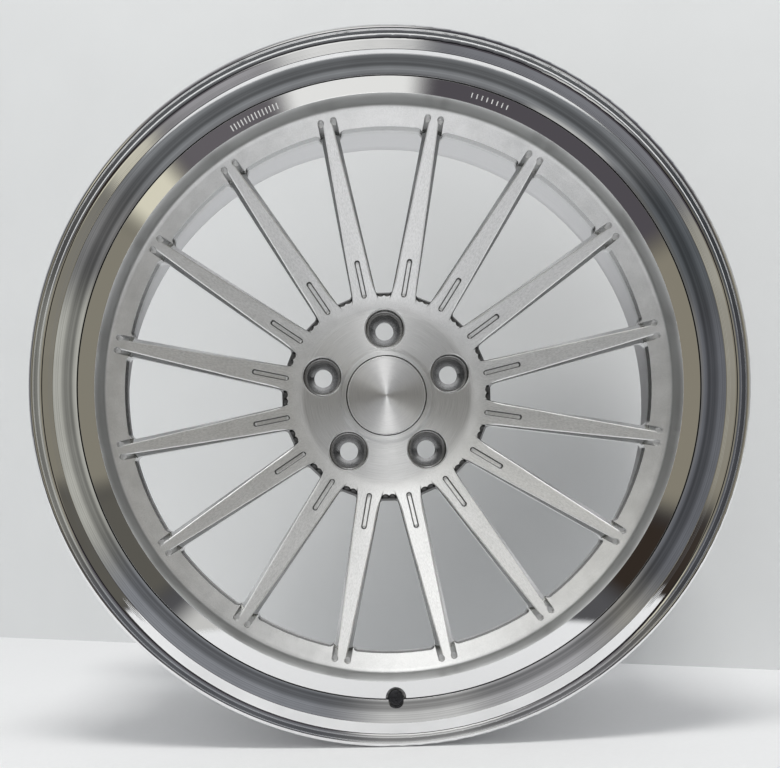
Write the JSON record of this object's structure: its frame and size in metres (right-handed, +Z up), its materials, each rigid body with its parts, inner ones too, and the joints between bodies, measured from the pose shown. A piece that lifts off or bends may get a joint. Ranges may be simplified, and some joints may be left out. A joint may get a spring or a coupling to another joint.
{
  "type": "forged racing wheel rim",
  "caption": "Forged car wheel with slim straight spokes, a deep polished stepped lip, a satin centre, a pull-out centre cap and a tyre valve with a working core.",
  "frame": {"origin": "on the wheel's axis, half way between the outer faces of the two tyre flanges", "axes": "+Y along the wheel's axis, from the street side towards the car; +Z up, through one wheel bolt hole; the valve is at -Z; +X to the right seen from the street side"},
  "size_m": [0.5426, 0.2794, 0.5426],
  "materials": {
    "centre_alloy": "satin brushed centre with a polished outer band",
    "rim_alloy": "mirror polished lip and flange, satin barrel",
    "bolt_steel": "zinc plated steel",
    "washer_steel": "zinc plated steel",
    "cap_alloy": "spun aluminium",
    "seal_rubber": "matt black",
    "valve_alloy": "black anodised",
    "cap_black": "black anodised and knurled",
    "core_brass": "machined",
    "spring_steel": "bare spring steel"
  },
  "bodies": {
    "wheel": {"forged_centre": "centre_alloy", "rim_barrel": "rim_alloy", "assembly_bolts": "bolt_steel", "assembly_washers": "washer_steel", "valve_stem": "valve_alloy", "valve_grommet": "seal_rubber", "valve_washer": "washer_steel", "valve_nut": "valve_alloy", "core_plug": "core_brass", "core_gasket": "seal_rubber", "core_barrel": "core_brass", "core_spring": "spring_steel"},
    "cap": {"centre_cap": "cap_alloy", "cap_o_rings": "seal_rubber"},
    "valve_cover": {"valve_cap": "cap_black", "valve_cap_seal": "seal_rubber"},
    "valve_pin": {"core_pin": "core_brass", "core_pin_seal": "seal_rubber"}
  },
  "joints": [
    {"name": "cap_pull", "type": "slide", "parent": "wheel", "child": "cap", "axis": [0, -1, 0], "range_m": [0, 0.02]},
    {"name": "valve_cap_off", "type": "slide", "parent": "wheel", "child": "valve_cover", "axis": [0, -0.9848, 0.1736], "range_m": [0, 0.016]},
    {"name": "core_pin_press", "type": "slide", "parent": "wheel", "child": "valve_pin", "axis": [0, 0.9848, -0.1736], "range_m": [0, 0.0015], "deforming": ["core_spring"]}
  ]
}
